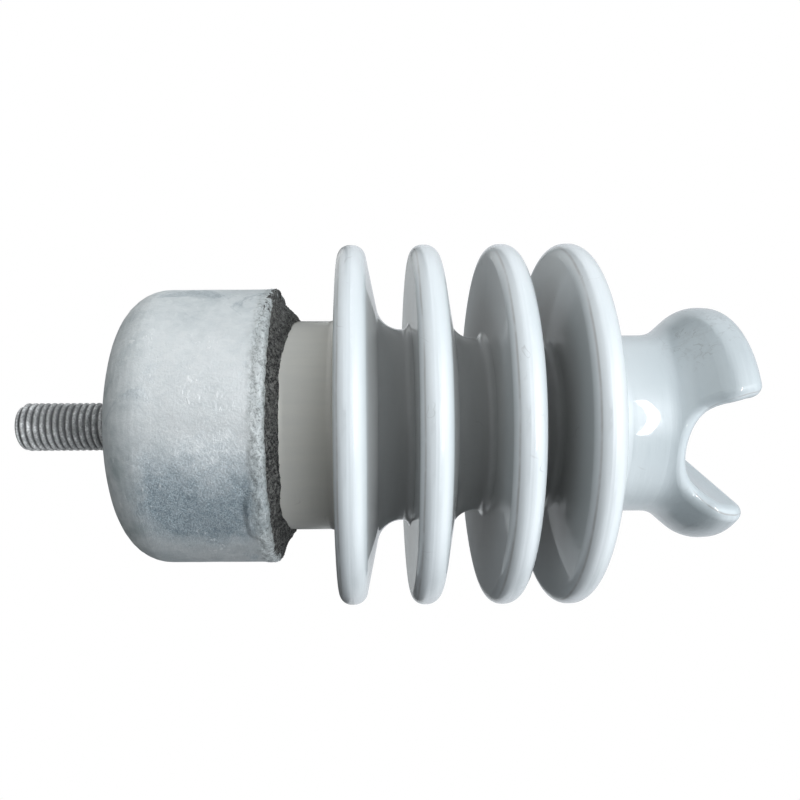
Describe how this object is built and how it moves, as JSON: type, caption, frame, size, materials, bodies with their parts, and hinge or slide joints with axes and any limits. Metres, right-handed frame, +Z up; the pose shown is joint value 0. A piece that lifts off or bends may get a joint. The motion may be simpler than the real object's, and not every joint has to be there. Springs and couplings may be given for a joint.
{
  "type": "porcelain line post insulator",
  "caption": "Short porcelain line post insulator with round sheds, a saddle-topped tie head and a galvanised iron base cap with a threaded stud.",
  "frame": {"origin": "centre of the base cap's seat face, on the stud axis", "axes": "+Z runs up the insulator's axis from the seat to the saddle head, the stud points down -Z, and the conductor groove runs along Y"},
  "size_m": [0.1396, 0.1396, 0.2746],
  "materials": {
    "grey_glaze": "glossy pale blue-grey glaze, thin brown line on each drip edge",
    "fired_grit": "coarse fired porcelain grit",
    "bitumen": "thin brushed bitumen coat",
    "cork": "pressed cork sheet",
    "galvanised_iron": "hot-dip galvanised, mottled and spangled, with zinc beads along the rim",
    "portland_cement": "neat Portland cement",
    "seal_coat": "dark moisture-proof coat over coarse cement",
    "galvanised_stud": "dull galvanised rolled thread"
  },
  "bodies": {
    "root": {"porcelain_body": "grey_glaze", "grit_band": "fired_grit", "foot_coat": "bitumen", "cushion_disc": "cork", "base_cap": "galvanised_iron", "cap_coat": "bitumen", "cement_joint": "portland_cement", "seal_coat": "seal_coat", "stud": "galvanised_stud"}
  },
  "joints": []
}
